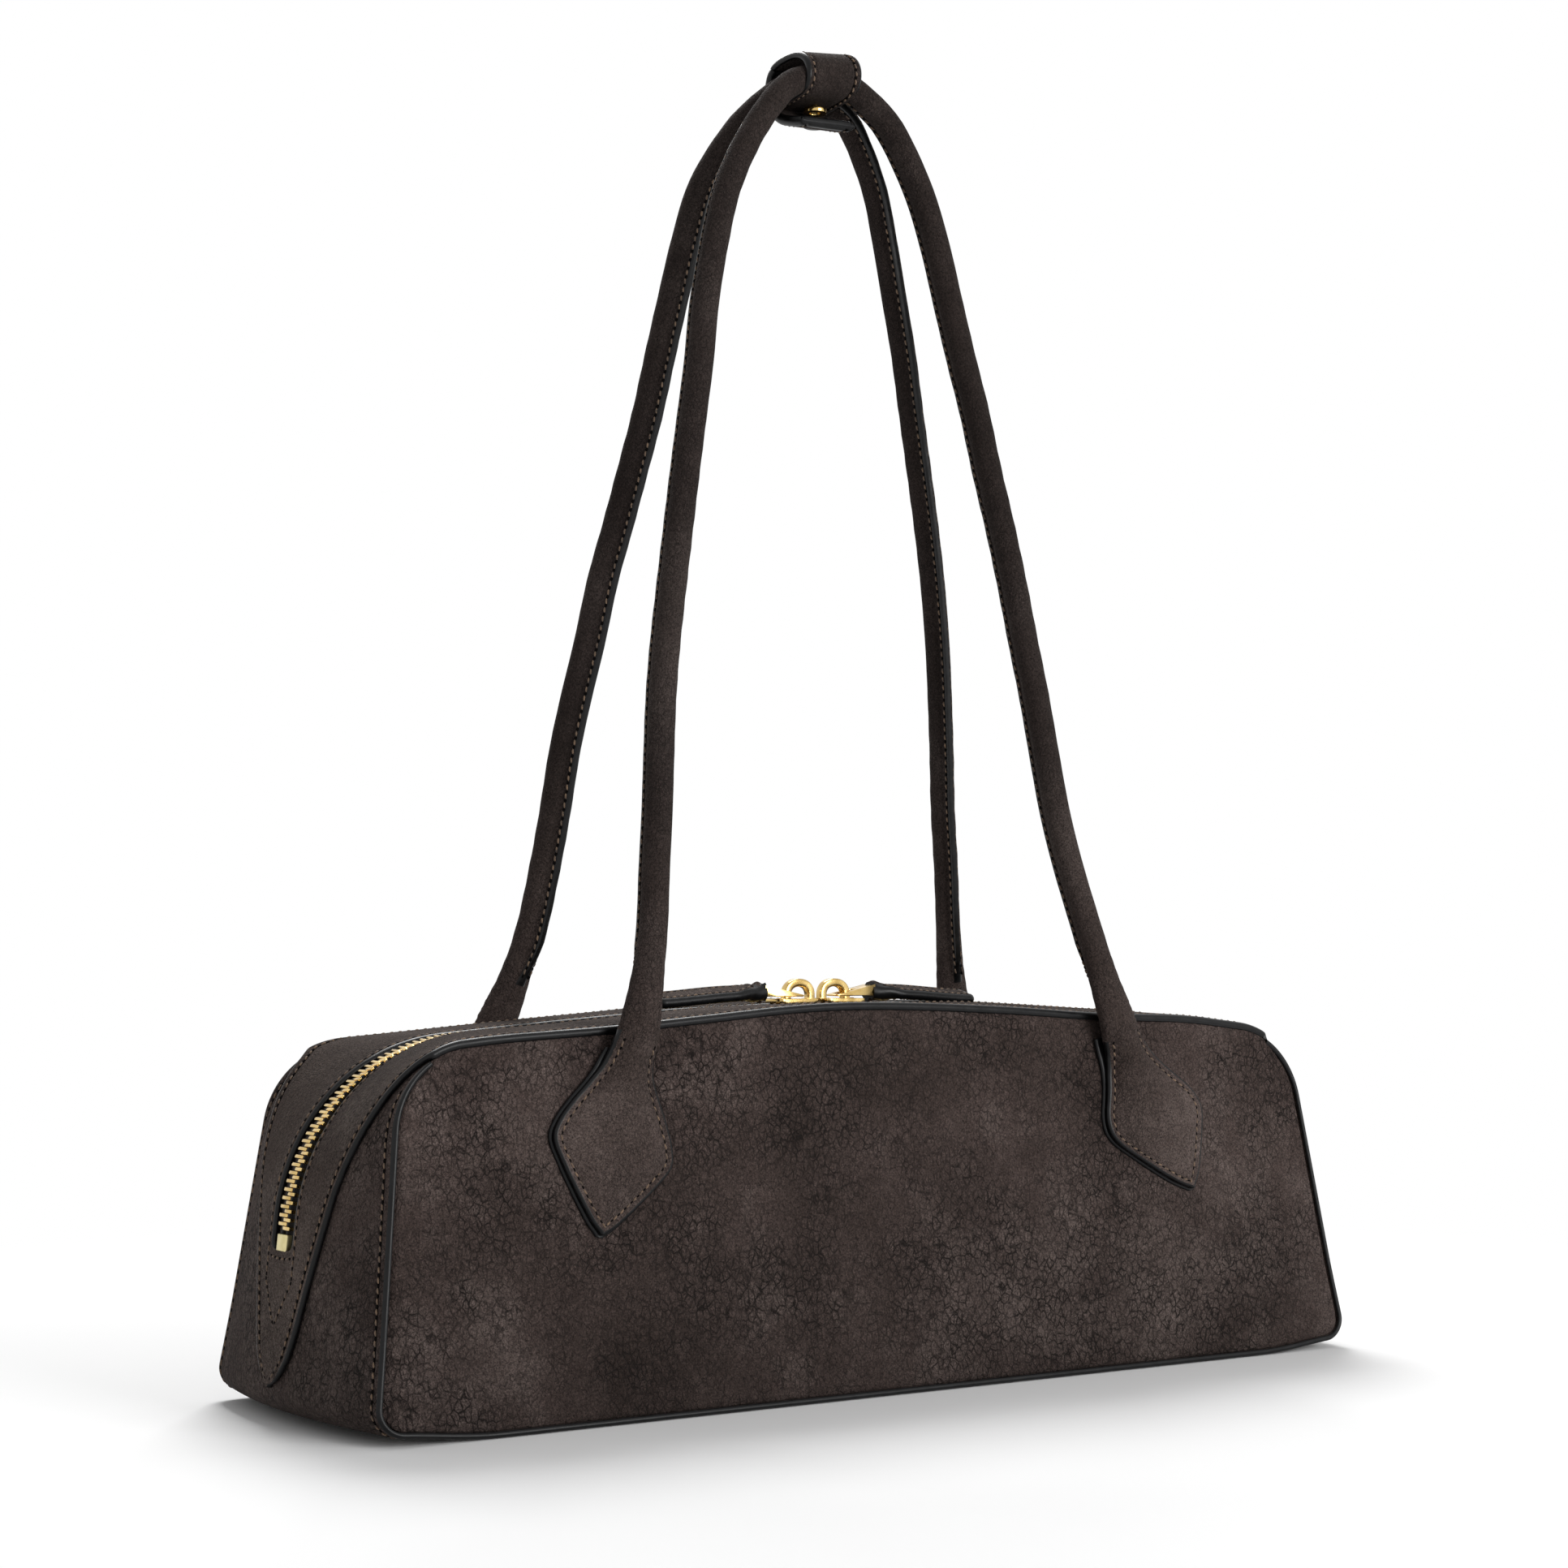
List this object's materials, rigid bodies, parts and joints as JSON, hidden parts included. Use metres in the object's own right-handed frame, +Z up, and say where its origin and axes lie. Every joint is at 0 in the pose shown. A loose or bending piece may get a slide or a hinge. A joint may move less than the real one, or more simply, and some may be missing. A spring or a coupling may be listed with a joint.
{
  "type": "baguette bag",
  "caption": "Long low leather baguette bag with a zip over the top, two sliders, two rolled handles and a snapped keeper.",
  "frame": {"origin": "middle of the base, on the ground", "axes": "+X along the bag to its right end, +Y to the back, +Z up; the front panel faces -Y"},
  "size_m": [0.3966, 0.1132, 0.4478],
  "materials": {
    "nubuck": "matte nap",
    "painted_edge": "semi-gloss",
    "brass": "polished",
    "zip_tape": "woven",
    "lining": "woven",
    "board": "matte",
    "cord": "twisted"
  },
  "bodies": {
    "shell": {"front_panel": "nubuck", "back_panel": "nubuck", "gusset": "nubuck", "base_board": "board", "lining": "lining", "left_strip_end": "nubuck", "right_strip_end": "nubuck", "left_zip_tape": "zip_tape", "right_zip_tape": "zip_tape", "left_zip_teeth": "brass", "right_zip_teeth": "brass", "left_end_stop": "brass", "right_end_stop": "brass", "front_left_tab": "nubuck", "front_right_tab": "nubuck", "back_left_tab": "nubuck", "back_right_tab": "nubuck", "front_left_backing": "painted_edge", "front_right_backing": "painted_edge", "back_left_backing": "painted_edge", "back_right_backing": "painted_edge"},
    "front_top_half": {"front_strip": "nubuck", "front_zip_tape": "zip_tape", "front_zip_teeth": "brass"},
    "back_top_half": {"back_strip": "nubuck", "back_zip_tape": "zip_tape", "back_zip_teeth": "brass"},
    "right_slider_body": {"right_slider": "brass"},
    "left_slider_body": {"left_slider": "brass"},
    "right_pull": {"right_pull_link": "brass", "right_pull_tab": "nubuck"},
    "left_pull": {"left_pull_link": "brass", "left_pull_tab": "nubuck"},
    "front_handle_body": {"front_handle": "nubuck", "front_handle_cord": "cord", "keeper_strap": "nubuck", "snap_socket": "brass"},
    "back_handle_body": {"back_handle": "nubuck", "back_handle_cord": "cord"},
    "keeper_flap_body": {"keeper_flap": "nubuck", "snap_stud": "brass", "snap_cap": "brass"}
  },
  "joints": [
    {"name": "zip_travel", "type": "hinge", "parent": "shell", "child": "right_slider_body", "pos_m": [0, 0, -1.2783], "axis": [0, 1, 0], "range_deg": [0, 4.78], "deforming": ["front_zip_tape", "back_zip_tape", "front_zip_teeth", "back_zip_teeth"]},
    {"name": "left_zip_travel", "type": "hinge", "parent": "shell", "child": "left_slider_body", "pos_m": [0, 0, -1.2783], "axis": [0, 1, 0], "range_deg": [-4.78, 0], "deforming": ["front_zip_tape", "back_zip_tape", "front_zip_teeth", "back_zip_teeth"]},
    {"name": "front_half_opening", "type": "hinge", "parent": "shell", "child": "front_top_half", "pos_m": [0, -0.04106, 0.1198], "axis": [1, 0, 0], "range_deg": [0, 50], "deforming": ["front_zip_tape", "back_zip_tape", "front_zip_teeth", "back_zip_teeth"]},
    {"name": "back_half_opening", "type": "hinge", "parent": "shell", "child": "back_top_half", "pos_m": [0, 0.04106, 0.1198], "axis": [-1, 0, 0], "range_deg": [0, 50], "deforming": ["front_zip_tape", "back_zip_tape", "front_zip_teeth", "back_zip_teeth"]},
    {"name": "right_pull_lift", "type": "hinge", "parent": "right_slider_body", "child": "right_pull", "pos_m": [0.00783, 0, 0.12603], "axis": [0, -1, 0], "range_deg": [0, 90]},
    {"name": "left_pull_lift", "type": "hinge", "parent": "left_slider_body", "child": "left_pull", "pos_m": [-0.00783, 0, 0.12603], "axis": [0, 1, 0], "range_deg": [0, 90]},
    {"name": "front_handle_fold", "type": "hinge", "parent": "shell", "child": "front_handle_body", "pos_m": [0, -0.04821, 0.1135], "axis": [1, 0, 0], "range_deg": [0, 110], "deforming": ["keeper_flap"]},
    {"name": "back_handle_fold", "type": "hinge", "parent": "shell", "child": "back_handle_body", "pos_m": [0, 0.04821, 0.1135], "axis": [-1, 0, 0], "range_deg": [0, 110], "deforming": ["keeper_flap"]},
    {"name": "keeper_opening", "type": "hinge", "parent": "front_handle_body", "child": "keeper_flap_body", "pos_m": [0, 0.0099, 0.4478], "axis": [1, 0, 0], "range_deg": [0, 121], "deforming": ["keeper_flap"]}
  ],
  "couplings": [
    {"joint": "left_zip_travel", "follows": "zip_travel", "ratio": -1},
    {"joint": "front_half_opening", "follows": "zip_travel", "ratio": 10.44},
    {"joint": "back_half_opening", "follows": "zip_travel", "ratio": 10.44},
    {"joint": "keeper_opening", "follows": "front_handle_fold", "ratio": 1.1}
  ]
}
